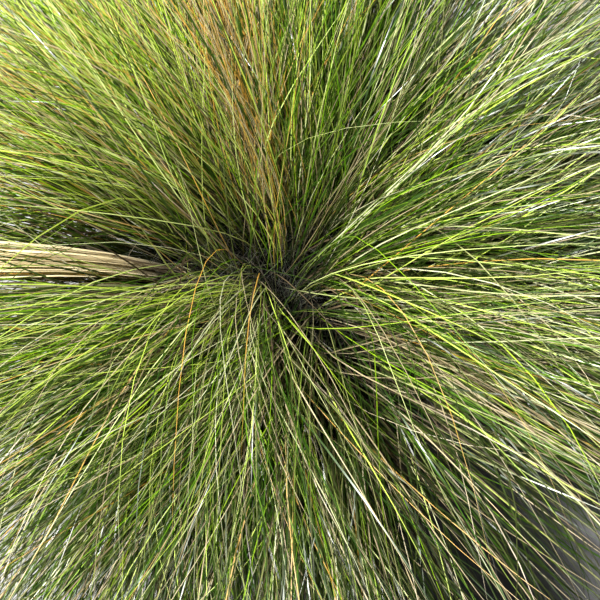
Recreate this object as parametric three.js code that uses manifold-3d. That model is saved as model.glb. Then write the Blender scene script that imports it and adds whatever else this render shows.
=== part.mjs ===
// Potted sand cordgrass: a fountain of narrow arching blades that grow in separate tufts from a low
// crown, in potting soil in a plain tapered terracotta pot.
// Millimetres, +Z up. The origin is the middle of the pot's underside, which stands on the ground.
import * as THREE from "three";
import { mergeVertices } from "three/addons/utils/BufferGeometryUtils.js";
import Module from "manifold-3d";

const wasm = await Module();
wasm.setup();

// Driving dimensions of the pot
const potHeight = 340;
const rimRadius = 210;
const rimHeight = 62;
const rimStep = 13;
const footRadius = 142;
const wall = 12;
const floorThickness = 16;
const edgeRound = 4;
const potSides = 48;
const drainHoles = 3;
const drainHoleRadius = 11;
const drainHoleCircle = 78;
const drainHoleSides = 12;

// Driving dimensions of the soil
const soilBelowRim = 30;
const soilMound = 9;
const moundRadius = 150;
const seatGap = 0.3;
const socketDepth = 42;

// Driving dimensions of the plant
const tuftCount = 46;
const crownRadius = 130;
const sheathRadius = 7;
const sheathHeight = 72;
const collarRadius = 7.8;
const collarInnerRadius = 3.4;
const bladeLength = 815;
const bladeWidth = 4.8;
const bladeThickness = 1.4;
const tipWidth = 1.8;
const tipThickness = 0.8;
const farthestReach = 715;
const bladeClearance = 6.5;
const sheathClearance = 12;
const potClearance = 8;
const mostTries = 60;

const degree = Math.PI / 180;
const goldenAngle = 137.508 * degree;
const mix = (a, b, t) => a + (b - a) * t;

const terracotta = new THREE.MeshStandardMaterial({ name: "terracotta", color: 0xa8613f, roughness: 0.85 });
const pottingSoil = new THREE.MeshStandardMaterial({ name: "potting_soil", color: 0x2b211a, roughness: 1 });
const leaves = {
  green: new THREE.MeshStandardMaterial({ name: "green_blades", color: 0x7fa03a, roughness: 0.55 }),
  straw: new THREE.MeshStandardMaterial({ name: "straw_blades", color: 0xcdb98a, roughness: 0.75 }),
  amber: new THREE.MeshStandardMaterial({ name: "amber_blades", color: 0xc9922f, roughness: 0.65 }),
};

// A surface made of triangles, each given by its three corners
function surface(triangles) {
  const corners = triangles.flat().flatMap((point) => point.toArray());
  return new THREE.BufferGeometry().setAttribute("position", new THREE.Float32BufferAttribute(corners, 3));
}

// The band between two rings with as many points each. Each of its four-cornered parts folds outwards.
function band(ring, next) {
  return ring.flatMap((a, i) => {
    const j = (i + 1) % ring.length;
    const [b, c, d] = [ring[j], next[j], next[i]];
    const outwards = b.clone().sub(a).cross(c.clone().sub(a));
    return outwards.dot(d.clone().sub(a)) < 0 ? [[a, b, c], [a, c, d]] : [[a, b, d], [b, c, d]];
  });
}

// The flat face of a ring, seen from the side that its points go round anticlockwise
const cap = (ring) => ring.slice(2).map((point, i) => [ring[0], ring[i + 1], point]);

function solidOf(geometry) {
  const bare = geometry.index ? geometry.toNonIndexed() : geometry.clone();
  bare.deleteAttribute("normal");
  bare.deleteAttribute("uv");
  const merged = mergeVertices(bare, 1e-4);
  const mesh = new wasm.Mesh({
    numProp: 3,
    vertProperties: merged.attributes.position.array,
    triVerts: new Uint32Array(merged.index.array),
  });
  return new wasm.Manifold(mesh);
}

function geometryOf(solid) {
  const mesh = solid.getMesh();
  const geometry = new THREE.BufferGeometry();
  geometry.setAttribute("position", new THREE.Float32BufferAttribute(mesh.vertProperties, 3));
  geometry.setIndex(new THREE.BufferAttribute(mesh.triVerts, 1));
  geometry.computeVertexNormals();
  return geometry;
}

function named(name, geometry, material) {
  const mesh = new THREE.Mesh(geometry, material);
  mesh.name = name;
  return mesh;
}

// A round body about +Z from its outline, given as [radius, height] pairs from the axis back to the axis
function turned(outline) {
  const lathe = new THREE.LatheGeometry(outline.map(([r, z]) => new THREE.Vector2(r, z)), potSides);
  return lathe.rotateX(Math.PI / 2);
}

// A level ring of points about an upright line
function levelRing(x, y, z, radius, sides) {
  return Array.from({ length: sides }, (_, i) => {
    const turn = (2 * Math.PI * i) / sides;
    return new THREE.Vector3(x + radius * Math.cos(turn), y + radius * Math.sin(turn), z);
  });
}

function prism(x, y, radius, sides, low, high) {
  const bottom = levelRing(x, y, low, radius, sides);
  const top = levelRing(x, y, high, radius, sides);
  return surface([...cap([...bottom].reverse()), ...band(bottom, top), ...cap(top)]);
}

// The pot: thrown terracotta with a thick rolled rim and three drain holes
const underRim = potHeight - rimHeight;
const bodyTopRadius = rimRadius - rimStep;
const mouthRadius = rimRadius - wall - 3;
const insideFootRadius = footRadius - wall;

function insideRadius(z) {
  return mix(insideFootRadius, mouthRadius, (z - floorThickness) / (potHeight - floorThickness));
}

function makePot() {
  let pot = solidOf(
    turned([
      [0, 0],
      [footRadius - edgeRound, 0],
      [footRadius, edgeRound],
      [bodyTopRadius, underRim],
      [rimRadius - edgeRound, underRim + edgeRound],
      [rimRadius, potHeight - edgeRound],
      [rimRadius - edgeRound, potHeight],
      [mouthRadius + edgeRound, potHeight],
      [insideRadius(potHeight - edgeRound), potHeight - edgeRound],
      [insideFootRadius, floorThickness],
      [0, floorThickness],
    ]),
  );
  for (let i = 0; i < drainHoles; i++) {
    const turn = (2 * Math.PI * i) / drainHoles;
    const x = drainHoleCircle * Math.cos(turn);
    const y = drainHoleCircle * Math.sin(turn);
    pot = pot.subtract(solidOf(prism(x, y, drainHoleRadius, drainHoleSides, -1, floorThickness + 1)));
  }
  return named("pot", geometryOf(pot), terracotta);
}

// The plant: where each tuft stands and which way it leans
const soilEdge = potHeight - soilBelowRim;
const soilRadius = insideRadius(soilEdge) - seatGap;

function soilTop(radius) {
  return soilEdge + soilMound * Math.min((soilRadius - radius) / (soilRadius - moundRadius), 1);
}

// Dead and yellowing tufts stand where the plant shows them, by heading in degrees from +X
const strawHeadings = [178, 312, 28];
const amberHeadings = [100, 150];

// How far a tuft's blades open out. Dead and yellowing ones stay gathered in a sheaf.
const openness = { green: 1, straw: 0.3, amber: 0.65 };

// A number from 0 to 1 that is always the same for the same place in the plant
function draw(tuft, blade, tries, item) {
  const turns = Math.sin(tuft * 12.9898 + blade * 78.233 + tries * 37.719 + item * 4.581) * 43758.5453;
  return turns - Math.floor(turns);
}

// Tufts fill the crown as seeds fill a sunflower, and lean out more towards its edge
const tufts = Array.from({ length: tuftCount }, (_, index) => {
  const share = Math.sqrt((index + 0.5) / tuftCount);
  const heading = (index * goldenAngle) % (2 * Math.PI);
  const lean = mix(8, 36, share ** 1.2) * degree;
  const radius = crownRadius * share;
  const out = new THREE.Vector3(Math.cos(heading), Math.sin(heading), 0);
  const up = new THREE.Vector3(0, 0, 1);
  const foot = out.clone().multiplyScalar(radius).setZ(soilTop(radius));
  // The tuft's own directions: along its sheaths, outwards across them, and sideways
  const along = up.clone().multiplyScalar(Math.cos(lean)).addScaledVector(out, Math.sin(lean));
  const across = out.clone().multiplyScalar(Math.cos(lean)).addScaledVector(up, -Math.sin(lean));
  const sideways = new THREE.Vector3(-out.y, out.x, 0);
  const top = foot.clone().addScaledVector(along, sheathHeight);
  return { index, share, heading, foot, top, along, across, sideways, kind: "green", paths: [] };
});

function outerTuftNearest(heading) {
  const apart = (tuft) => 1 - Math.cos(tuft.heading - heading * degree);
  const outer = tufts.filter((tuft) => tuft.share > 0.5 && tuft.kind === "green");
  return outer.sort((a, b) => apart(a) - apart(b))[0];
}
for (const heading of strawHeadings) outerTuftNearest(heading).kind = "straw";
for (const heading of amberHeadings) outerTuftNearest(heading).kind = "amber";

// The collar at the top of a tuft's sheaths: six outer and three inner corners, and between them
// ten three-cornered seats with a blade on each
const collarSides = 6;
function onCollar(turns, radius) {
  return [radius * Math.cos(turns * 2 * Math.PI), radius * Math.sin(turns * 2 * Math.PI)];
}
const collarCorners = [
  ...Array.from({ length: collarSides }, (_, i) => onCollar(i / collarSides, collarRadius)),
  ...Array.from({ length: 3 }, (_, i) => onCollar((4 * i + 1) / 12, collarInnerRadius)),
];
const collarSeats = [
  [0, 1, 6],
  [2, 3, 7],
  [4, 5, 8],
  [1, 2, 6],
  [3, 4, 7],
  [5, 0, 8],
  [2, 7, 6],
  [4, 8, 7],
  [0, 6, 8],
  [6, 7, 8],
];

// A blade leaves its seat steeply, arches outwards and hangs at its tip. Blades on the outer side of the
// collar go lower, and those on its left or right go further that way, so that they fan out.
const steps = 20;
const flare = 0.34;
function bladePath(tuft, seat, tries) {
  const stray = (item) => draw(tuft.index, seat, tries, item) - 0.5;
  const corners = collarSeats[seat].map((corner) => collarCorners[corner]);
  const outward = (corners[0][0] + corners[1][0] + corners[2][0]) / 3;
  const leftward = (corners[0][1] + corners[1][1] + corners[2][1]) / 3;
  const root = tuft.top
    .clone()
    .addScaledVector(tuft.across, outward)
    .addScaledVector(tuft.sideways, leftward);
  const opening = flare * openness[tuft.kind];
  const first = tuft.along
    .clone()
    .addScaledVector(tuft.across, (opening * outward) / collarRadius + 0.04 * stray(1))
    .addScaledVector(tuft.sideways, (opening * leftward) / collarRadius + 0.04 * stray(2))
    .normalize();
  const fan = mix(150, 52, tuft.share) * degree * openness[tuft.kind] ** 2;
  const heading = tuft.heading + fan * (leftward / collarRadius + 0.5 * stray(3));
  const tilt = (mix(72, 112, tuft.share) + (14 * outward) / collarRadius + 26 * stray(4)) * degree;
  const flat = new THREE.Vector3(Math.cos(heading), Math.sin(heading), 0);
  const last = flat.multiplyScalar(Math.sin(tilt)).setZ(Math.cos(tilt));
  const length = bladeLength * mix(1, 0.84, tuft.share) * (0.93 + 0.3 * stray(5));
  const bend = 1.35 + 0.4 * stray(6);
  const path = [root];
  for (let i = 0; i < steps; i++) {
    const ahead = first.clone().lerp(last, ((i + 0.5) / steps) ** bend).normalize();
    path.push(path[i].clone().addScaledVector(ahead, length / steps));
  }
  return path;
}

// Keeping the blades clear of each other, of other tufts' sheaths and of the pot
const clamp = (value) => Math.min(Math.max(value, 0), 1);

// The shortest distance between the lines from a to b and from c to d
function lineDistance([a, b], [c, d]) {
  const u = b.clone().sub(a);
  const v = d.clone().sub(c);
  const w = a.clone().sub(c);
  const uu = u.dot(u);
  const uv = u.dot(v);
  const vv = v.dot(v);
  const across = uu * vv - uv * uv;
  let s = across > 1e-9 ? clamp((uv * v.dot(w) - vv * u.dot(w)) / across) : 0;
  const t = clamp((uv * s + v.dot(w)) / vv);
  s = clamp((uv * t - u.dot(w)) / uu);
  return w.addScaledVector(u, s).addScaledVector(v, -t).length();
}

const stations = [0, 4, 8, 12, 16, 20];
const pathLines = (path) => stations.slice(1).map((end, i) => [path[stations[i]], path[end]]);

function anyNear(lines, others, gap) {
  return lines.some((line) => others.some((other) => lineDistance(line, other) < gap));
}

function clearsPot(point) {
  const radius = Math.hypot(point.x, point.y);
  if (radius > rimRadius + potClearance) return true;
  return point.z > potClearance + (radius > soilRadius - potClearance ? potHeight : soilTop(radius));
}

function isClear(tuft, path) {
  const tip = path.at(-1);
  if (Math.hypot(tip.x, tip.y) > farthestReach || !path.every(clearsPot)) return false;
  const lines = pathLines(path);
  return tufts.every((other) => {
    if (other !== tuft && anyNear(lines, [[other.foot, other.top]], sheathClearance)) return false;
    const skipped = other === tuft ? 1 : 0;
    const ours = lines.slice(skipped);
    return other.paths.every((grown) => !anyNear(ours, pathLines(grown).slice(skipped), bladeClearance));
  });
}

collarSeats.forEach((_, seat) => {
  for (const tuft of tufts) {
    for (let tries = 0; tries < mostTries && !tuft.paths[seat]; tries++) {
      const path = bladePath(tuft, seat, tries);
      if (isClear(tuft, path)) tuft.paths[seat] = path;
    }
  }
});

// A blade's cross-section: two edges and a keel under its middle, widest up to a third of its length
function bladeRing(path, station) {
  const along = station / steps;
  const ahead = path[Math.min(station + 1, steps)].clone().sub(path[station - 1]).normalize();
  const side = new THREE.Vector3(-ahead.y, ahead.x, 0).normalize();
  const face = ahead.clone().cross(side);
  const width = mix(bladeWidth, tipWidth, Math.max(0, (along - 0.35) / 0.65) ** 1.6);
  return [
    path[station].clone().addScaledVector(side, width / 2),
    path[station].clone().addScaledVector(side, -width / 2),
    path[station].clone().addScaledVector(face, -mix(bladeThickness, tipThickness, along)),
  ];
}

// The ring started at the corner that lets it follow on from the ring before with the least twist
function followingOn(ring, before) {
  const starts = ring.map((_, i) => [...ring.slice(i), ...ring.slice(0, i)]);
  const travel = (started) => started.reduce((sum, point, i) => sum + point.distanceToSquared(before[i]), 0);
  return starts.sort((a, b) => travel(a) - travel(b))[0];
}

function bladeTriangles(seat, path) {
  let ring = seat;
  const triangles = [];
  for (const [from, to] of stations.slice(1).map((station, i) => [stations[i], station])) {
    const carried = ring.map((point) => point.clone().sub(path[from]).add(path[to]));
    const next = followingOn(bladeRing(path, to), carried);
    triangles.push(...band(ring, next));
    ring = next;
  }
  return [...triangles, ...cap(ring)];
}

// A tuft: its sheaths stand upright in the soil, lean out above it and end in the collar
function makeTuft(tuft) {
  const { foot, top, across, sideways } = tuft;
  const upright = (z) => levelRing(foot.x, foot.y, z, sheathRadius, collarSides);
  const onTop = ([x, y]) => top.clone().addScaledVector(across, x).addScaledVector(sideways, y);
  const corners = collarCorners.map(onTop);
  const rim = followingOn(corners.slice(0, collarSides), upright(top.z));
  const bottom = upright(foot.z - socketDepth);
  const ground = upright(foot.z + 3);
  const grown = collarSeats.flatMap((seat, i) => {
    const ring = seat.map((corner) => corners[corner]);
    return tuft.paths[i] ? bladeTriangles(ring, tuft.paths[i]) : [ring];
  });
  const sheaths = [...cap([...bottom].reverse()), ...band(bottom, ground), ...band(ground, rim)];
  const solid = solidOf(surface([...sheaths, ...grown]));
  const number = String(tuft.index + 1).padStart(2, "0");
  return named(`${tuft.kind}_tuft_${number}`, geometryOf(solid), leaves[tuft.kind]);
}

// The soil: it fills the pot and has a plain hole for each tuft
function makeSoil() {
  const low = floorThickness + seatGap;
  let soil = solidOf(
    turned([
      [0, low],
      [insideRadius(low) - seatGap, low],
      [soilRadius, soilEdge],
      [moundRadius, soilEdge + soilMound],
      [0, soilEdge + soilMound],
    ]),
  );
  const holeRadius = sheathRadius + seatGap / Math.cos(Math.PI / collarSides);
  for (const { foot } of tufts) {
    const bottom = foot.z - socketDepth - seatGap;
    soil = soil.subtract(solidOf(prism(foot.x, foot.y, holeRadius, collarSides, bottom, potHeight)));
  }
  return named("potting_soil", geometryOf(soil), pottingSoil);
}

const pottedGrass = new THREE.Group();
pottedGrass.add(makePot(), makeSoil(), ...tufts.map(makeTuft));

export default pottedGrass;
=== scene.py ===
# Potted sand cordgrass: a dense fountain of fine arching blades in a plain terracotta pot, seen from above
# as in the photograph. Metres, +Z up, in the frame of the solid model.
import math

import bpy
import numpy as np
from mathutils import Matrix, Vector, noise


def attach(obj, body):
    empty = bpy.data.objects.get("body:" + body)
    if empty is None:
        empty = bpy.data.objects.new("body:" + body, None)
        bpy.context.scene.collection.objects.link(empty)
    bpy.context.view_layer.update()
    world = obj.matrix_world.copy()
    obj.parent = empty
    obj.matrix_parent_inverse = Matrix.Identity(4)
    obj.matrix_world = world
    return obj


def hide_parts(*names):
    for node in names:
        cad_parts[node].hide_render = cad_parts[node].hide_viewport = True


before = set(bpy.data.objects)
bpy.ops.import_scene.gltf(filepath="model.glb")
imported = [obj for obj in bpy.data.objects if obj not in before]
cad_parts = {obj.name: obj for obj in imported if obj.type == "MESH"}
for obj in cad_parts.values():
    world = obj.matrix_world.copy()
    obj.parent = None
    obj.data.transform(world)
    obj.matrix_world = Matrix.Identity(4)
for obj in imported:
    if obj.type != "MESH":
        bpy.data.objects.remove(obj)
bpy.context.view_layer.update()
mm = 0.001


# The pot: thrown terracotta, 420 mm across its rolled rim, with a tapered body and three drain holes. It is
# unglazed, so water draws lime out to its surface, and its turned sides keep the marks of the hand.
class Value:
    """A socket of a finish. Sums and products of values add the Math nodes that work them out."""

    def __init__(self, finish, socket):
        self.finish = finish
        self.socket = socket

    def with_math(self, operation, first, second):
        return self.finish.node("Math", {"operation": operation}, {0: first, 1: second})

    def __add__(self, other):
        return self.with_math("ADD", self, other)

    def __sub__(self, other):
        return self.with_math("SUBTRACT", self, other)

    def __rsub__(self, other):
        return self.with_math("SUBTRACT", other, self)

    def __mul__(self, other):
        return self.with_math("MULTIPLY", self, other)

    def __pow__(self, other):
        return self.with_math("POWER", self, other)

    __radd__ = __add__
    __rmul__ = __mul__


class Finish:
    """A material whose nodes are made as they are asked for."""

    def __init__(self, name):
        self.material = bpy.data.materials.new(name)
        self.material.use_nodes = True
        self.nodes = self.material.node_tree.nodes
        self.links = self.material.node_tree.links
        self.shader = self.nodes["Principled BSDF"]

    def feed(self, sockets, name, value):
        if isinstance(value, Value):
            self.links.new(value.socket, sockets[name])
        else:
            sockets[name].default_value = value

    def node(self, kind, settings, sockets, output=0):
        made = self.nodes.new("ShaderNode" + kind)
        for name, setting in settings.items():
            if name == "stops":
                while len(made.color_ramp.elements) < len(setting):
                    made.color_ramp.elements.new(1.0)
                for element, (place, colour) in zip(made.color_ramp.elements, setting):
                    element.position = place
                    element.color = colour
            else:
                setattr(made, name, setting)
        for name, value in sockets.items():
            self.feed(made.inputs, name, value)
        return Value(self, made.outputs[output])

    def surface(self, **sockets):
        for name, value in sockets.items():
            self.feed(self.shader.inputs, name.replace("_", " "), value)

    def place(self):
        return self.node("TexCoord", {}, {}, "Object")

    def grain(self, place, scale, detail=3.0, roughness=0.5):
        sockets = {"Vector": place, "Scale": scale, "Detail": detail, "Roughness": roughness}
        return self.node("TexNoise", {}, sockets, "Fac")

    def step(self, value, low, high):
        sockets = {"Value": value, "From Min": low, "From Max": high}
        return self.node("MapRange", {"interpolation_type": "SMOOTHSTEP"}, sockets)

    def mixed(self, share, first, second):
        return self.node("Mix", {"data_type": "RGBA"}, {0: share, 6: first, 7: second}, 2)

    def shaded(self, colour, value):
        return self.node("VectorMath", {"operation": "SCALE"}, {"Vector": colour, "Scale": value})

    def ramp(self, value, stops):
        return self.node("ValToRGB", {"stops": stops}, {"Fac": value})

    def bump(self, height, strength, distance):
        return self.node("Bump", {}, {"Height": height, "Strength": strength, "Distance": distance})


def colour(code):
    """The linear colour of a code of six hexadecimal digits."""
    parts = [int(code[i : i + 2], 16) / 255 for i in (0, 2, 4)]
    return (*[part / 12.92 if part < 0.04045 else ((part + 0.055) / 1.055) ** 2.4 for part in parts], 1.0)


def new_piece(name, points, faces, finish):
    """A smooth piece of the object from its points and its faces, which may have any number of corners."""
    mesh = bpy.data.meshes.new(name)
    corners = np.concatenate([np.asarray(rows).ravel() for rows in faces])
    sizes = np.concatenate([np.full(len(rows), np.shape(rows)[1]) for rows in faces])
    mesh.vertices.add(len(points))
    mesh.vertices.foreach_set("co", np.asarray(points, np.float32).ravel())
    mesh.loops.add(len(corners))
    mesh.loops.foreach_set("vertex_index", corners.astype(np.int32))
    mesh.polygons.add(len(sizes))
    mesh.polygons.foreach_set("loop_start", np.concatenate([[0], np.cumsum(sizes)[:-1]]).astype(np.int32))
    mesh.polygons.foreach_set("use_smooth", np.ones(len(sizes), bool))
    mesh.update(calc_edges=True)
    mesh.validate()
    mesh.materials.append(finish.material)
    piece = bpy.data.objects.new(name, mesh)
    bpy.context.scene.collection.objects.link(piece)
    return piece


def turned(outline, sides):
    """The points and faces of a round body, from an outline of (radius, height) pairs from axis to axis."""
    turn = np.arange(sides) * 2 * math.pi / sides
    radius, height = np.array(outline[1:-1]).T
    rings = np.stack(
        [
            radius[:, None] * np.cos(turn),
            radius[:, None] * np.sin(turn),
            np.repeat(height[:, None], sides, 1),
        ],
        -1,
    )
    points = np.concatenate([rings.reshape(-1, 3), [[0, 0, outline[0][1]], [0, 0, outline[-1][1]]]])
    here = np.arange(sides)
    after = np.roll(here, -1)
    row = np.arange(len(radius) - 1)[:, None] * sides
    band = np.stack([row + here, row + after, row + sides + after, row + sides + here], -1).reshape(-1, 4)
    last = (len(radius) - 1) * sides
    foot = np.stack([after, here, np.full(sides, len(points) - 2)], -1)
    head = np.stack([last + here, last + after, np.full(sides, len(points) - 1)], -1)
    return points, [band, np.concatenate([foot, head])]


def rounded(corners, steps=5):
    """An outline whose corners, (radius, height, rounding), are arcs, with points every 8 mm between."""
    outline = [np.array(corners[0][:2])]
    for before, corner, after in zip(corners, corners[1:], corners[2:]):
        here = np.array(corner[:2])
        back = np.array(before[:2]) - here
        on = np.array(after[:2]) - here
        start = here + back / np.linalg.norm(back) * corner[2]
        end = here + on / np.linalg.norm(on) * corner[2]
        run = start - outline[-1]
        count = int(np.linalg.norm(run) // (8 * mm))
        outline += [outline[-1] + run * (i + 1) / (count + 1) for i in range(count)]
        along = np.linspace(0, 1, steps)[:, None]
        outline += list((1 - along) ** 2 * start + 2 * along * (1 - along) * here + along**2 * end)
    return [*outline, np.array(corners[-1][:2])]


POT_HEIGHT = 340 * mm
RIM_RADIUS = 210 * mm
RIM_HEIGHT = 62 * mm
FOOT_RADIUS = 142 * mm
WALL = 12 * mm
MOUTH_RADIUS = RIM_RADIUS - WALL - 3 * mm
FLOOR = 16 * mm
DRAIN_RADIUS = 11 * mm
DRAIN_PLACE = 78 * mm


def pot_finish():
    clay = Finish("terracotta")
    place = clay.place()
    height = clay.node("SeparateXYZ", {}, {"Vector": place}, "Z")
    cloud = clay.grain(place, 7.0, 5.0, 0.6)
    speckle = clay.grain(place, 260.0, 2.0)
    body = clay.ramp(
        cloud * 0.75 + speckle * 0.25,
        [
            (0.28, colour("8A4A2C")),
            (0.46, colour("A95E3B")),
            (0.60, colour("BC714A")),
            (0.78, colour("CB8A63")),
        ],
    )
    # Lime gathers in soft-edged patches low on the body and under the rim, where water leaves the clay
    patches = clay.step(clay.grain(place, 13.0, 8.0, 0.68), 0.50, 0.68)
    low = 1.0 - clay.step(height, 0.02, 0.20)
    under_rim = clay.step(height, 0.235, 0.275) * (1.0 - clay.step(height, 0.281, 0.300))
    lime = patches * (low * 0.75 + under_rim * 0.5 + 0.10)
    limed = clay.mixed(lime, body, colour("DCC9B4"))
    # Soil and algae darken the foot
    damp = clay.step(clay.grain(place, 22.0, 5.0, 0.6), 0.42, 0.66)
    stained = clay.mixed(damp * (1.0 - clay.step(height, 0.0, 0.035)) * 0.6, limed, colour("5B4433"))
    marks = clay.node(
        "TexWave",
        {"bands_direction": "Z"},
        {"Vector": place, "Scale": 38.0, "Distortion": 1.4, "Detail": 2.0, "Detail Scale": 0.6},
        "Fac",
    )
    relief = marks * 0.35 + speckle * 0.5 + clay.grain(place, 60.0, 4.0) * 0.4
    clay.surface(
        Base_Color=stained,
        Roughness=0.74 + lime * 0.18 + speckle * 0.08,
        Normal=clay.bump(relief, 0.35, 0.6 * mm),
    )
    return clay


clay_finish = pot_finish()
points, faces = turned(
    rounded(
        [
            (0, 0, 0),
            (FOOT_RADIUS, 0, 5 * mm),
            (RIM_RADIUS - 13 * mm, POT_HEIGHT - RIM_HEIGHT, 3 * mm),
            (RIM_RADIUS - 1 * mm, POT_HEIGHT - RIM_HEIGHT + 3 * mm, 4 * mm),
            (RIM_RADIUS, POT_HEIGHT, 7 * mm),
            (MOUTH_RADIUS, POT_HEIGHT, 5 * mm),
            (FOOT_RADIUS - WALL, FLOOR, 4 * mm),
            (0, FLOOR, 0),
        ]
    ),
    160,
)
pot = new_piece("terracotta_pot", points, faces, clay_finish)
drains = []
for i in range(3):
    turn = 2 * math.pi * i / 3
    low, high = -10 * mm, FLOOR + 14 * mm
    hole, walls = turned([(0, low), (DRAIN_RADIUS, low), (DRAIN_RADIUS, high), (0, high)], 40)
    hole = hole + [DRAIN_PLACE * math.cos(turn), DRAIN_PLACE * math.sin(turn), 0]
    drains.append(new_piece(f"drain_{i}", hole, walls, clay_finish))
for drain in drains:
    cut = pot.modifiers.new("drain", "BOOLEAN")
    cut.operation = "DIFFERENCE"
    cut.object = drain
pot.data = bpy.data.meshes.new_from_object(pot.evaluated_get(bpy.context.evaluated_depsgraph_get()))
pot.modifiers.clear()
for drain in drains:
    bpy.data.objects.remove(drain)
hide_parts("pot")
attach(pot, "root")


# The potting soil: damp bark-based mix with a crumbly top, 30 mm below the rim and mounded a little round
# the crown. Loose crumbs, bark chips and a few grains of perlite lie on it.
SOIL_EDGE = POT_HEIGHT - 30 * mm
SOIL_MOUND = 9 * mm
MOUND_RADIUS = 150 * mm
SEAT_GAP = 0.3 * mm


def inside_radius(z):
    foot = FOOT_RADIUS - WALL
    return foot + (MOUTH_RADIUS - foot) * (z - FLOOR) / (POT_HEIGHT - FLOOR)


SOIL_RADIUS = inside_radius(SOIL_EDGE) - SEAT_GAP


def soil_top(radius):
    slope = (SOIL_RADIUS - radius) / (SOIL_RADIUS - MOUND_RADIUS)
    return SOIL_EDGE + SOIL_MOUND * np.clip(slope, 0, 1)


def crumbled(x, y):
    """How far the soil's surface stands above its level: lumps, with crumbs on them."""
    lumps = noise.fractal(Vector((x * 30, y * 30, 0)), 1.0, 2.1, 3)
    coarse = abs(noise.noise(Vector((x * 190, y * 190, 4))))
    crumbs = coarse + 0.5 * abs(noise.noise(Vector((x * 420, y * 420, 9))))
    return 1.6 * mm * lumps + 2.6 * mm * crumbs


def soil_finish():
    soil = Finish("potting_soil")
    place = soil.place()
    fine = soil.grain(place, 420.0, 3.0, 0.65)
    cloud = soil.grain(place, 45.0, 5.0, 0.6)
    soil.surface(
        Base_Color=soil.ramp(
            cloud * 0.5 + fine * 0.5,
            [
                (0.30, colour("120D0A")),
                (0.46, colour("2B2019")),
                (0.58, colour("3F3024")),
                (0.72, colour("6A5541")),
            ],
        ),
        Roughness=0.95 - cloud * 0.2,
        Normal=soil.bump(fine, 0.6, 1.0 * mm),
    )
    return soil


RINGS = 96
ROUND_SIDES = 220
levels = [(0, FLOOR + SEAT_GAP), (inside_radius(FLOOR) - SEAT_GAP, FLOOR + SEAT_GAP)]
levels += [(SOIL_RADIUS * (1 - i / RINGS) ** 0.9, 0) for i in range(RINGS)]
levels += [(0, 0)]
points, faces = turned(levels, ROUND_SIDES)
for point in points[ROUND_SIDES:-2]:
    radius = math.hypot(point[0], point[1])
    proud = crumbled(point[0], point[1]) if radius < SOIL_RADIUS - 1 * mm else 0
    point[2] = soil_top(radius) + proud
points[-1][2] = soil_top(0) + crumbled(0, 0)
soil = new_piece("soil", points, faces, soil_finish())
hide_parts("potting_soil")
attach(soil, "root")


def chip_finish(name, stops):
    chip = Finish(name)
    place = chip.place()
    fibres = chip.grain(place, 300.0, 4.0, 0.6)
    kinds = chip.grain(place, 38.0, 2.0)
    chip.surface(
        Base_Color=chip.ramp(kinds * 0.7 + fibres * 0.3, stops),
        Roughness=0.8 + fibres * 0.15,
        Normal=chip.bump(fibres, 0.5, 0.6 * mm),
    )
    return chip


def scattered(name, count, sizes, seed, finish):
    """Broken bits that lie half sunk on the soil, each a box knocked out of square."""
    chance = np.random.default_rng(seed)
    radius = (SOIL_RADIUS - 8 * mm) * np.sqrt(chance.random(count))
    turn = chance.random(count) * 2 * math.pi
    x = radius * np.cos(turn)
    y = radius * np.sin(turn)
    z = soil_top(radius) + [crumbled(a, b) for a, b in zip(x, y)]
    cube = np.array([[i, j, k] for i in (-0.5, 0.5) for j in (-0.5, 0.5) for k in (-0.5, 0.5)])
    extent = chance.uniform(*sizes, (count, 1, 3))
    shape = cube * extent * (1 + 0.35 * chance.standard_normal((count, 8, 3)))
    tilt = chance.uniform(-0.5, 0.5, (count, 1))
    spin = chance.random((count, 1)) * 2 * math.pi
    lean = np.stack(
        [
            shape[..., 0],
            shape[..., 1] * np.cos(tilt) - shape[..., 2] * np.sin(tilt),
            shape[..., 1] * np.sin(tilt) + shape[..., 2] * np.cos(tilt),
        ],
        -1,
    )
    points = np.stack(
        [
            x[:, None] + lean[..., 0] * np.cos(spin) - lean[..., 1] * np.sin(spin),
            y[:, None] + lean[..., 0] * np.sin(spin) + lean[..., 1] * np.cos(spin),
            z[:, None] + lean[..., 2],
        ],
        -1,
    )
    box_faces = np.array(
        [[0, 1, 3, 2], [4, 6, 7, 5], [0, 4, 5, 1], [2, 3, 7, 6], [0, 2, 6, 4], [1, 5, 7, 3]]
    )
    faces = (np.arange(count)[:, None, None] * 8 + box_faces).reshape(-1, 4)
    piece = new_piece(name, points.reshape(-1, 3), [faces], finish)
    piece.data.polygons.foreach_set("use_smooth", np.zeros(len(faces), bool))
    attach(piece, "root")


bark = chip_finish(
    "bark",
    [(0.35, colour("1E1510")), (0.48, colour("46301F")), (0.58, colour("6B4A30")), (0.70, colour("8C6A48"))],
)
perlite = chip_finish("perlite", [(0.3, colour("B9B4A6")), (0.7, colour("E4E0D4"))])
scattered("bark_chips", 520, ([4 * mm, 3 * mm, 1 * mm], [15 * mm, 9 * mm, 3 * mm]), 3, bark)
scattered("soil_crumbs", 1300, ([1.5 * mm, 1.5 * mm, 1.2 * mm], [5 * mm, 5 * mm, 4 * mm]), 4, bark)
scattered("perlite_grains", 90, ([1.5 * mm, 1.5 * mm, 1.5 * mm], [3.5 * mm, 3.5 * mm, 3 * mm]), 5, perlite)


# The grass: separate tufts, each a bunch of shoots whose brown sheaths stand in the soil, with narrow
# keeled blades that leave them steeply, arch over and hang. Green ones stand among straw and amber ones.
TUFTS = 46
CROWN_RADIUS = 130 * mm
SHEATH_HEIGHT = 72 * mm
COLLAR_RADIUS = 7.8 * mm
BLADE_LENGTH = 815 * mm
FLARE = 0.34
GOLDEN_ANGLE = math.radians(137.508)
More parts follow.
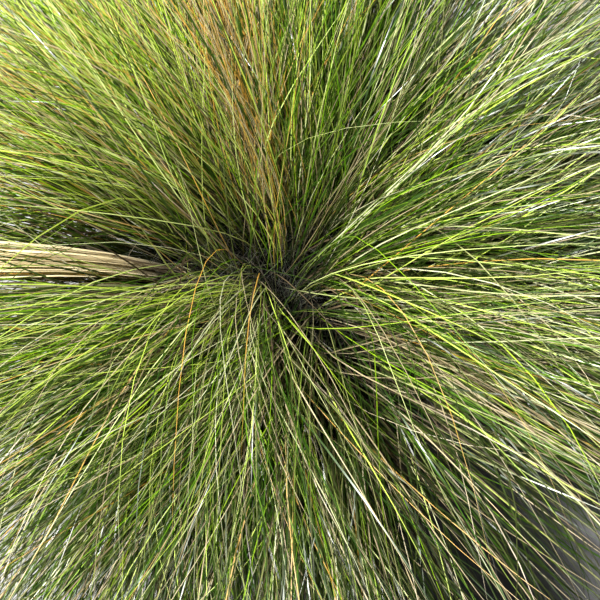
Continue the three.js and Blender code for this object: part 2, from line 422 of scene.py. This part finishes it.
# The outer tufts that aren't green: their kind and finish, the heading in degrees that each stands nearest,
# how far its blades open out, and how many degrees they lie to the side of it
TURNED = [
    ("straw", "sheaf", 178, 0.09, 10),
    ("straw", "straw", 312, 0.65, 14),
    ("straw", "straw", 28, 0.7, 0),
    ("amber", "amber", 100, 0.65, 0),
    ("amber", "amber", 150, 0.65, 0),
]
SHOOTS = 26
BLADES_ON_A_SHOOT = 11
BLADE_STEPS = 10
THATCH_STEPS = 8
FARTHEST = 712 * mm
HIGHEST = 1095 * mm
# The view is 10 degrees off plumb, so a point is seen this much farther back for each unit of its height
VIEW_SLANT = 0.176
# The step of a blade's path whose bearing from the crown says which side of the clump the blade is on
MIDWAY = 6
# The left straw sheaf arches to this height, this far out, and is seen in a lane this wide behind the crown
SHEAF_TOP = 645 * mm
SHEAF_TOP_OUT = 590 * mm
SHEAF_ARCH = 0.98
SHEAF_START_OUT = 150 * mm
LANE = 30 * mm
LANE_HALF_WIDTH = 17 * mm


def lerp(first, second, share):
    return first + (second - first) * share


def tufts():
    found = []
    for index in range(TUFTS):
        share = math.sqrt((index + 0.5) / TUFTS)
        heading = index * GOLDEN_ANGLE % (2 * math.pi)
        lean = math.radians(lerp(8, 36, share**1.2))
        out = np.array([math.cos(heading), math.sin(heading), 0])
        up = np.array([0, 0, 1.0])
        tuft = {
            "index": index,
            "share": share,
            "heading": heading,
            "kind": "green",
            "finish": "green",
            "openness": 1.0,
            "turn": 0.0,
            "foot": out * CROWN_RADIUS * share + up * soil_top(CROWN_RADIUS * share),
            "along": up * math.cos(lean) + out * math.sin(lean),
            "across": out * math.cos(lean) - up * math.sin(lean),
            "sideways": np.array([-out[1], out[0], 0]),
        }
        found.append(tuft)
    for kind, finish, wanted, openness, turn in TURNED:
        outer = [tuft for tuft in found if tuft["share"] > 0.5 and tuft["kind"] == "green"]
        nearest = min(outer, key=lambda tuft: 1 - math.cos(tuft["heading"] - math.radians(wanted)))
        nearest.update(kind=kind, finish=finish, openness=openness, turn=math.radians(turn))
    return found


def unit(vectors):
    return vectors / np.linalg.norm(vectors, axis=-1, keepdims=True)


def grown_paths(root, first, last, bow, length, bend, steps):
    """Paths that set out one way, turn to another by way of a bow to the side, and keep their length."""
    paths = [root]
    for i in range(steps):
        turned_by = (((i + 0.5) / steps) ** bend)[:, None]
        ahead = unit(first * (1 - turned_by) + last * turned_by + bow * np.sin(math.pi * turned_by))
        paths.append(paths[-1] + ahead * (length / steps)[:, None])
    return np.stack(paths, 1)


def strips(paths, flat, width, twist, profile, marks):
    """Long bodies along paths, with the profile's cross-section, that close in a point at the path's end."""
    count, steps = len(paths), paths.shape[1] - 1
    corners = len(profile)
    ahead = unit(np.concatenate([paths[:, 1:2] - paths[:, :1], paths[:, 2:] - paths[:, :-2]], 1))
    side = unit(flat[:, None] - np.sum(flat[:, None] * ahead, -1, keepdims=True) * ahead)
    face = np.cross(ahead, side)
    turned_side = side * np.cos(twist)[..., None] + face * np.sin(twist)[..., None]
    turned_face = face * np.cos(twist)[..., None] - side * np.sin(twist)[..., None]
    rings = [
        paths[:, :-1] + (turned_side * across + turned_face * proud) * width[..., None]
        for across, proud in profile
    ]
    rings = np.stack(rings, 2).reshape(count, steps * corners, 3)
    points = np.concatenate([rings, paths[:, -1:]], 1)
    here = np.arange(corners)
    after = np.roll(here, -1)
    row = np.arange(steps - 1)[:, None] * corners
    band = np.stack([row + here, row + after, row + corners + after, row + corners + here], -1).reshape(-1, 4)
    last = (steps - 1) * corners
    point = np.stack([last + here, last + after, np.full(corners, steps * corners)], -1)
    foot = here[None, ::-1]
    start = np.arange(count)[:, None, None] * points.shape[1]
    along = np.append(np.repeat(np.arange(steps) / steps, corners), 1.0)
    lane = np.append(np.tile(here / corners, steps), 0.5)
    # Where each face corner lies on the strip's own small sheet of the map: round it and along it
    band_uv = np.stack(
        [
            np.stack([np.stack([here, here + 1, here + 1, here], -1) / corners] * (steps - 1)),
            np.stack([[[k, k, k + 1, k + 1]] * corners for k in range(steps - 1)]) / steps,
        ],
        -1,
    ).reshape(-1, 4, 2)
    point_uv = np.stack(
        [
            np.stack([here, here + 1, here + 0.5], -1) / corners,
            [[(steps - 1) / steps] * 2 + [1]] * corners,
        ],
        -1,
    )
    foot_uv = np.stack([here[::-1] / corners, -0.03 * (here % 2) - 0.01], -1)[None]
    return {
        "points": points,
        "faces": [start + band, start + point, start + foot],
        "uv": [band_uv, point_uv, foot_uv],
        "along": along,
        "lane": lane,
        "marks": marks,
    }


def joined(name, batches, finish):
    """One piece from batches of strips, with what its finish reads and each strip's place on its map."""
    total = sum(len(batch["points"]) for batch in batches)
    columns = math.ceil(math.sqrt(total))
    points, faces, uv = [], {3: [], 4: [], 5: []}, {3: [], 4: [], 5: []}
    values = {"along": [], "lane": [], "tint": [], "dry": []}
    done = placed = 0
    for batch in batches:
        count, each = batch["points"].shape[:2]
        cell = np.arange(done, done + count)
        corner = np.stack([cell % columns, cell // columns], -1)[:, None, None]
        for rows, sheet in zip(batch["faces"], batch["uv"]):
            rows = (rows + placed).reshape(-1, rows.shape[-1])
            faces[rows.shape[1]].append(rows)
            uv[rows.shape[1]].append(((corner + 0.07 + 0.86 * sheet) / columns).reshape(-1, 2))
        points.append(batch["points"].reshape(-1, 3))
        for key in ("along", "lane"):
            values[key].append(np.tile(batch[key], count))
        for key in ("tint", "dry"):
            values[key].append(np.repeat(batch["marks"][key], each))
        done += count
        placed += count * each
    sizes = [size for size in faces if faces[size]]
    piece = new_piece(name, np.concatenate(points), [np.concatenate(faces[size]) for size in sizes], finish)
    layer = piece.data.uv_layers.new(name="OFBake")
    sheets = np.concatenate([np.concatenate(uv[size]) for size in sizes])
    layer.uv.foreach_set("vector", sheets.astype(np.float32).ravel())
    for key, rows in values.items():
        attribute = piece.data.attributes.new(key, "FLOAT", "POINT")
        attribute.data.foreach_set("value", np.concatenate(rows).astype(np.float32))
    # A blade's upper face is flat across, with a crisp edge on each side of it
    piece.data.set_sharp_from_angle(angle=math.radians(80))
    return piece


GREEN = [
    (0.00, colour("142A02")),
    (0.30, colour("3C680C")),
    (0.60, colour("78AA0A")),
    (0.85, colour("B4D628")),
    (1.00, colour("E2F084")),
]
OLIVE = [
    (0.00, colour("283018")),
    (0.30, colour("5C6632")),
    (0.60, colour("9CA264")),
    (0.85, colour("CED2A2")),
    (1.00, colour("F0F2DE")),
]
DEAD = [
    (0.30, colour("271E16")),
    (0.44, colour("43372A")),
    (0.56, colour("75664A")),
    (0.68, colour("B4A683")),
    (0.80, colour("D0C6A6")),
    (0.90, colour("DAB252")),
    (1.00, colour("CC923C")),
]
# The share of the light on a blade's wall that the wall lets through
GLOW = 0.48


def blade_finish(name, dead_share, gloss, painted_light_gain=1.0, shaded_to=0.46):
    """Leaf with fine veins: the living colour turns to the dead one in dry blades, at tips and at bases."""
    leaf = Finish(name)
    along, lane, tint, dry = (
        leaf.node("Attribute", {"attribute_name": key}, {}, "Fac")
        for key in ("along", "lane", "tint", "dry")
    )
    veins = leaf.node("CombineXYZ", {}, {"X": lane * 9.0, "Y": along * 5.0, "Z": tint * 90.0})
    vein = leaf.grain(veins, 1.0, 3.0)
    patch = leaf.grain(leaf.node("CombineXYZ", {}, {"X": along * 7.0, "Y": tint * 140.0}), 1.0, 2.0)
    tip = leaf.step(along + patch * 0.3, 1.02 - dead_share * 0.3, 1.20)
    foot = 1.0 - leaf.step(along + patch * 0.08, 0.07, 0.24)
    # Painted shade: low in the crown, where little light comes, the blades' colour and glow are darkened and
    # their gloss is dulled
    painted_crown_shade = (1.0 - leaf.step(along, 0.07, shaded_to)) * 0.95
    shade = tint * 0.86 + patch * 0.28 - 0.07
    fresh = leaf.mixed(leaf.step(dry, 0.0, 0.32), leaf.ramp(shade, GREEN), leaf.ramp(shade, OLIVE))
    gone = leaf.step(dry, 0.40, 0.46)
    old = leaf.ramp(dry * 0.86 + patch * 0.28 - 0.07 + tip * (1.0 - gone) * 0.2, DEAD)
    withered = leaf.node("Math", {"operation": "MAXIMUM"}, {0: gone, 1: tip * 0.85})
    withered = leaf.node("Math", {"operation": "MAXIMUM"}, {0: withered, 1: foot * 0.7})
    painted = leaf.mixed(withered, fresh, old)
    # Painted light: the gain brightens the colour of bundles that lie partly in shade, and the painted crown
    # shade darkens the colour low down
    leaf.surface(
        Base_Color=leaf.shaded(painted, (0.30 + vein * 0.32) * (1.0 - painted_crown_shade) * painted_light_gain),
        Roughness=gloss + withered * 0.14 + painted_crown_shade * 0.42,
        Specular_IOR_Level=0.45,
    )
    # Light crosses both walls of a blade, so each wall takes the square root of the colour
    one_wall = leaf.node("VectorMath", {"operation": "POWER"}, {0: painted, 1: (0.5, 0.5, 0.5)})
    tinted = leaf.node("VectorMath", {"operation": "MULTIPLY"}, {0: one_wall, 1: (1.18, 1.15, 0.94)})
    glow = leaf.node("BsdfTranslucent", {}, {"Color": leaf.shaded(tinted, 1.0 - painted_crown_shade)})
    both = leaf.node("MixShader", {}, {0: GLOW, 1: Value(leaf, leaf.shader.outputs[0]), 2: glow})
    leaf.links.new(both.socket, leaf.nodes["Material Output"].inputs["Surface"])
    return leaf


finishes = {
    "green": blade_finish("green_blades", 0.5, 0.34),
    "straw": blade_finish("straw_blades", 1.0, 0.46),
    # The amber and pale straw finishes carry painted light, a gain on their colour, because their bundles lie
    # partly in shade
    "amber": blade_finish("amber_blades", 1.0, 0.42, 1.35),
    "sheaf": blade_finish("pale_straw", 1.0, 0.5, 2.2, 0.32),
}


def towards(heading, centre, width):
    """1 where a heading is the centre, in degrees, and less away from it."""
    apart = (np.degrees(heading) - centre + 180) % 360 - 180
    return np.exp(-((apart / width) ** 2))


def dryness(tuft, bearing, chance):
    """How far each blade has turned: up to 0.35 living, from 0.62 straw and from 0.90 amber."""
    count = len(bearing)
    amber = 0.03 + 0.45 * towards(bearing, 102, 7) + 0.11 * towards(bearing, 130, 25)
    straw = 0.08 + 0.10 * towards(bearing, 290, 70) + 0.5 * towards(bearing, 335, 3)
    straw = straw + 0.35 * towards(bearing, 102, 6)
    if tuft["kind"] == "straw":
        amber, straw = 0.03, 1.08 - 1.1 * tuft["openness"]
    if tuft["kind"] == "amber":
        amber, straw = 0.60, 0.20
    lot = chance.random(count)
    dry = chance.choice([0.05, 0.35, 0.35], count) * chance.random(count) ** 0.6
    dry = dry * (1 - 0.6 * towards(bearing, 115, 50))
    dry = np.where(lot < amber + straw, chance.uniform(0.62, 0.84, count), dry)
    return np.where(lot < amber, chance.uniform(0.90, 1.0, count), dry)


def paleness_and_painted_light(bearing):
    """How much paler or darker than the rest the blades are on each side of the clump: partly paler blades,
    partly painted light and sheen on the sides where light falls, and painted shade on the others.
    """
    pale = 0.30 * towards(bearing, 353, 18) + 0.58 * towards(bearing, 116, 40)
    pale = pale + 0.26 * towards(bearing, 188, 20)
    return pale - 0.30 * towards(bearing, 315, 24) - 0.12 * towards(bearing, 55, 30)


def sparseness(bearing, share):
    """The share of blades that are missing where the clump is thin, or where a bundle shows through it."""
    thin = 0.9 * towards(bearing, 313, 28) + 0.5 * towards(bearing, 62, 14)
    thin = thin + 0.15 * towards(bearing, 260, 20)
    if share < 0.65:
        thin += 0.5 * towards(bearing, 174, 7)
    return thin


def over_sheaf(paths):
    """Whether a blade passes over the straw sheaf that lies out to the left, or would shade it."""
    x, y, z = np.moveaxis(paths, -1, 0)
    above = z - SHEAF_TOP + SHEAF_ARCH * (x + SHEAF_TOP_OUT) ** 2
    beside = y + VIEW_SLANT * (z - POT_HEIGHT) - LANE
    in_lane = abs(beside - 0.2 * above) < LANE_HALF_WIDTH + 0.2 * above
    return ((x < -SHEAF_START_OUT) & (above > 0) & in_lane).any(1)


BLADE_PROFILE = [(0.5, 0.06), (-0.5, 0.06), (0.0, -0.30)]
SHOOT_PROFILE = [(0.5 * math.cos(a), 0.5 * math.sin(a)) for a in np.arange(5) * 2 * math.pi / 5]


def thatch(tuft, chance):
    """Thin dead and stunted blades that lie across each other low between the shoots."""
    count = round(lerp(90, 14, tuft["share"]))
    around = chance.uniform(0, 2 * math.pi, count)
    root = tuft["foot"] + tuft["along"] * chance.uniform(0.2, 1.3, (count, 1)) * SHEATH_HEIGHT
    flat = np.stack([-np.sin(around), np.cos(around), 0 * around], -1)
    out = np.stack([np.cos(around), np.sin(around), 0 * around], -1)
    tilt = np.radians(chance.uniform(60, 110, count))[:, None]
    last = out * np.sin(tilt) + [0, 0, 1] * np.cos(tilt)
    first = unit(tuft["along"] + 0.5 * chance.standard_normal((count, 3)) * [1, 1, 0])
    bow = flat * (0.55 * chance.standard_normal(count))[:, None]
    length = chance.uniform(90, 340, count) * mm
    paths = grown_paths(root, first, last, bow, length, np.ones(count), THATCH_STEPS)
    radius = np.hypot(paths[..., 0], paths[..., 1])
    clear = ((paths[..., 2] > soil_top(radius) + 4 * mm) | (radius > RIM_RADIUS + 3 * mm)).all(1)
    clear &= ((radius < SOIL_RADIUS - 3 * mm) | (paths[..., 2] > POT_HEIGHT + 4 * mm)).all(1)
    paths = paths[clear]
    marks = {"tint": chance.uniform(0, 0.6, count)[clear], "dry": chance.uniform(0.1, 0.6, count)[clear]}
    width = chance.uniform(0.5, 1.0, (len(paths), 1)) * mm * np.linspace(1, 0.6, THATCH_STEPS)
    threads = strips(paths, flat[clear], width, np.zeros_like(width), BLADE_PROFILE, marks)
    # The thatch's along is squeezed so the painted crown shade darkens nearly all of it
    threads["along"] = threads["along"] * 0.22
    return threads


def makes_tuft(tuft):
    chance = np.random.default_rng(100 + tuft["index"])
    share = tuft["share"]
    count = SHOOTS * BLADES_ON_A_SHOOT
    shoot = np.repeat(np.arange(SHOOTS), BLADES_ON_A_SHOOT)

    def stray(width=1.0, shared=0.65):
        """Chance that blades on one shoot mostly share."""
        own = chance.random(count) - 0.5
        common = (chance.random(SHOOTS) - 0.5)[shoot]
        return width * (common * shared + own * (1 - shared)) * 1.2

    # The shoots stand close in a round bunch and open out towards its top
    spread = np.sqrt((np.arange(SHOOTS) + 0.5) / SHOOTS)
    turn = np.arange(SHOOTS) * GOLDEN_ANGLE
    outward = spread * np.cos(turn)
    leftward = spread * np.sin(turn)
    offset = COLLAR_RADIUS * (outward[:, None] * tuft["across"] + leftward[:, None] * tuft["sideways"])
    openness = tuft["openness"]
    opening = FLARE * openness * (outward[:, None] * tuft["across"] + leftward[:, None] * tuft["sideways"])
    lengthwise = unit(tuft["along"] + opening)
    below = tuft["foot"] - [0, 0, 12 * mm] + offset * 0.8
    top = tuft["foot"] + tuft["along"] * SHEATH_HEIGHT + offset
    tall = chance.uniform(0.9, 1.7, SHOOTS)
    stem = np.stack([below, lerp(below, top, 0.55), top, top + lengthwise * SHEATH_HEIGHT * tall[:, None]], 1)
    stem_width = np.array([3.4, 3.2, 2.4]) * mm * chance.uniform(0.85, 1.2, (SHOOTS, 1))
    stems = strips(
        stem,
        np.tile(tuft["sideways"], (SHOOTS, 1)),
        stem_width,
        np.zeros((SHOOTS, 3)),
        SHOOT_PROFILE,
        {"tint": chance.random(SHOOTS), "dry": chance.uniform(0.2, 0.9, SHOOTS)},
    )
    # The shoots' along is squeezed so the painted crown shade darkens nearly all of them
    stems["along"] = stems["along"] * 0.2

    lot = chance.random(count)
    fresh_side = towards(tuft["heading"], 140, 50)
    old = lot < lerp(0.10, 0.26, share) * (1 - 0.5 * fresh_side) * min(openness * 2, 1)
    # Under blades droop below the rest and later take the darkest tints, which are partly painted shade
    under = ~old & (lot < lerp(0.28, 0.68, share) * (1 - 0.65 * fresh_side)) & (tuft["kind"] == "green")
    loose = (chance.random(count) < 0.008) & ~old & ~under
    wandering = chance.random(count) < 0.15
    level = chance.uniform(0.1, 1.0, count)[:, None]
    root = lerp(tuft["foot"] + offset[shoot] * 0.8, top[shoot], level)
    first = lengthwise + 0.24 * openness * (chance.random((SHOOTS, 3)) - 0.5)
    first = first[shoot] + 0.10 * openness * (chance.random((count, 3)) - 0.5)
    fan = math.radians(lerp(150, 18, share)) * openness**3
    sideways = leftward[shoot] * 0.8 + stray(1.2, 0.93)
    heading = tuft["heading"] + fan * (sideways + 0.4 * wandering * chance.standard_normal(count))
    heading = heading + loose * chance.uniform(-1.8, 1.8, count)
    tilt = lerp(72, 112, share) + 14 * outward[shoot] + stray(48, 0.8)
    tilt = tilt + old * chance.uniform(10, 60, count) + under * chance.uniform(12, 45, count)
    heading = heading + tuft["turn"] + 0.05 * openness * chance.standard_normal(count)
    if tuft["kind"] == "straw":
        tilt = lerp(98, 100, openness) + openness * (tilt - lerp(72, 112, share))
    tilt = np.radians(tilt)
    last = np.stack([np.sin(tilt) * np.cos(heading), np.sin(tilt) * np.sin(heading), np.cos(tilt)], -1)
    length = BLADE_LENGTH * lerp(0.93, 0.86, share) * (0.74 + 0.36 * chance.beta(2.2, 1.3, count))
    length = length * np.where(old, chance.uniform(0.5, 0.85, count), 1) * np.where(loose, 0.55, 1)
    bend = lerp(0.8, 1.35, openness) + openness * stray(0.7, 0.85)
    flat = np.stack([-np.sin(heading), np.cos(heading), 0 * heading], -1)
    bow = flat * (np.where(loose, 0.5, 0.13 * openness) * chance.standard_normal(count))[:, None]
    paths = grown_paths(root, unit(first), last, bow, length, bend, BLADE_STEPS)
    reach = np.hypot(paths[..., 0], paths[..., 1]).max(1)
    rise = paths[..., 2].max(1) - root[:, 2]
    fit = np.minimum(1, np.minimum(FARTHEST / reach, (HIGHEST - root[:, 2]) / rise))
    paths = root[:, None] + (paths - root[:, None]) * fit[:, None, None]
    # A slow wave keeps a blade from being a plain arc
    share_along = np.arange(BLADE_STEPS + 1) / BLADE_STEPS
    pace = chance.uniform(4, 9, SHOOTS)[shoot] + chance.uniform(-1, 1, count)
    start = chance.uniform(0, 6.3, SHOOTS)[shoot] + chance.uniform(-0.5, 0.5, count)
    wave = np.sin(share_along * pace[:, None] + start[:, None])
    sway = wave * share_along * chance.uniform(2, 9, count)[:, None] * openness * mm
    paths = paths + sway[..., None] * flat[:, None]
    radius = np.hypot(paths[..., 0], paths[..., 1])
    height = paths[..., 2]
    in_rim = (radius > SOIL_RADIUS - 3 * mm) & (radius < RIM_RADIUS + 3 * mm) & (height < POT_HEIGHT + 3 * mm)
    in_soil = (radius < SOIL_RADIUS) & (height < SOIL_EDGE + SOIL_MOUND + 3 * mm) & (share_along > 0.15)
    clear = ~(in_rim | in_soil).any(1)
    x, y, z = paths[:, MIDWAY].T
    bearing = np.arctan2(y + VIEW_SLANT * (z - POT_HEIGHT), x)
    if tuft["finish"] != "sheaf":
        clear &= chance.random(count) > sparseness(bearing, share)
        clear &= ~over_sheaf(paths) | (chance.random(count) < 0.1)

    before_tip = share_along[:-1]
    taper = 1 - np.clip((before_tip - 0.45) / 0.6, 0, 1) ** 1.5
    taper = taper * lerp(0.75, 1, np.clip(before_tip * 8, 0, 1))
    width = chance.uniform(1.0, 2.0, count) * np.where(loose, 0.4, 1) * np.where(old | under, 1.5, 1)
    width = width * lerp(0.5, 1, min(share * 1.5, 1))
    width = width[:, None] * mm * taper
    twist = chance.uniform(-1.0, 1.0, count)[:, None]
    twist = twist + chance.uniform(-0.6, 0.6, count)[:, None] * before_tip
    dry = np.where(old, chance.uniform(0.42, 0.56, count), dryness(tuft, bearing, chance))
    # The tint carries painted light by side: partly paler blades, partly painted sheen on the lit sides and
    # painted shade on the darker ones
    tint = np.clip(0.46 + stray(2.0, 0.35) + paleness_and_painted_light(bearing), 0, 1)
    # Painted shade: under blades take the darkest tints, partly as older lower leaves, partly so the gaps
    # beneath the top blades stay dark even where the key light reaches them
    dry = np.where(under, chance.uniform(0, 0.3, count), dry)
    tint = np.where(under, chance.uniform(0, 0.18, count), tint)
    blades = strips(
        paths[clear],
        flat[clear],
        width[clear],
        twist[clear],
        BLADE_PROFILE,
        {"tint": tint[clear], "dry": dry[clear]},
    )
    name = f"{tuft['kind']}_tuft_{tuft['index'] + 1:02d}"
    piece = joined(name + "_blades", [stems, blades, thatch(tuft, chance)], finishes[tuft["finish"]])
    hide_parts(name)
    tuft["kind"] + "_blades"
    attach(piece, "root")


for tuft in tufts():
    makes_tuft(tuft)


# The studio: a plain floor, one key light high on the viewer's left, and a faint even light from all round
FLOOR_GREY = 0.108
FLOOR_REACH = 9
floor_finish = Finish("studio_floor")
floor_finish.surface(Base_Color=(FLOOR_GREY, FLOOR_GREY, FLOOR_GREY, 1), Roughness=0.8)
floor_points = np.array([[-1, -1, 0], [1, -1, 0], [1, 1, 0], [-1, 1, 0]]) * FLOOR_REACH
floor = new_piece("studio_floor", floor_points, [np.array([[0, 1, 2, 3]])], floor_finish)


def soft_light(name, azimuth, elevation, distance, size, power, tone):
    light = bpy.data.lights.new(name, "AREA")
    light.shape = "DISK"
    light.size = size
    light.energy = power
    light.color = tone
    lamp = bpy.data.objects.new(name, light)
    turn, lift = math.radians(azimuth), math.radians(elevation)
    away = Vector((math.cos(turn) * math.cos(lift), math.sin(turn) * math.cos(lift), math.sin(lift)))
    lamp.location = Vector((0, 0, 0.5)) + away * distance
    lamp.rotation_euler = away.to_track_quat("Z", "Y").to_euler()
    bpy.context.scene.collection.objects.link(lamp)


soft_light("key", 160, 61, 8.0, 0.6, 5600, (1.0, 0.985, 0.96))
world = bpy.data.worlds.new("studio")
world.use_nodes = True
world.node_tree.nodes["Background"].inputs["Color"].default_value = (0.85, 0.92, 1.0, 1)
world.node_tree.nodes["Background"].inputs["Strength"].default_value = 0.11
bpy.context.scene.world = world
bpy.context.scene.view_settings.view_transform = "Standard"

# The camera looks down into the crown, which lies a little above and left of the picture's middle
CROWN = Vector((0, 0, 0.40))
LENS = 74.0
SENSOR = 36
PICTURE_PIXELS = 600
PIXELS_A_UNIT = LENS / SENSOR * PICTURE_PIXELS
ELEVATION = math.radians(80)
DISTANCE = 1.76
view_from = Vector((0, -math.cos(ELEVATION), math.sin(ELEVATION)))
picture_up = Vector((0, math.sin(ELEVATION), math.cos(ELEVATION)))
CROWN_LEFT_PIXELS = 13
CROWN_UP_PIXELS = 14
aside = Vector((CROWN_LEFT_PIXELS, 0, 0)) - picture_up * CROWN_UP_PIXELS
aim = CROWN + aside * DISTANCE / PIXELS_A_UNIT
camera = bpy.data.objects.new("camera", bpy.data.cameras.new("camera"))
camera.data.lens = LENS
camera.location = aim + view_from * DISTANCE
camera.rotation_euler = view_from.to_track_quat("Z", "Y").to_euler()
bpy.context.scene.collection.objects.link(camera)
bpy.context.scene.camera = camera
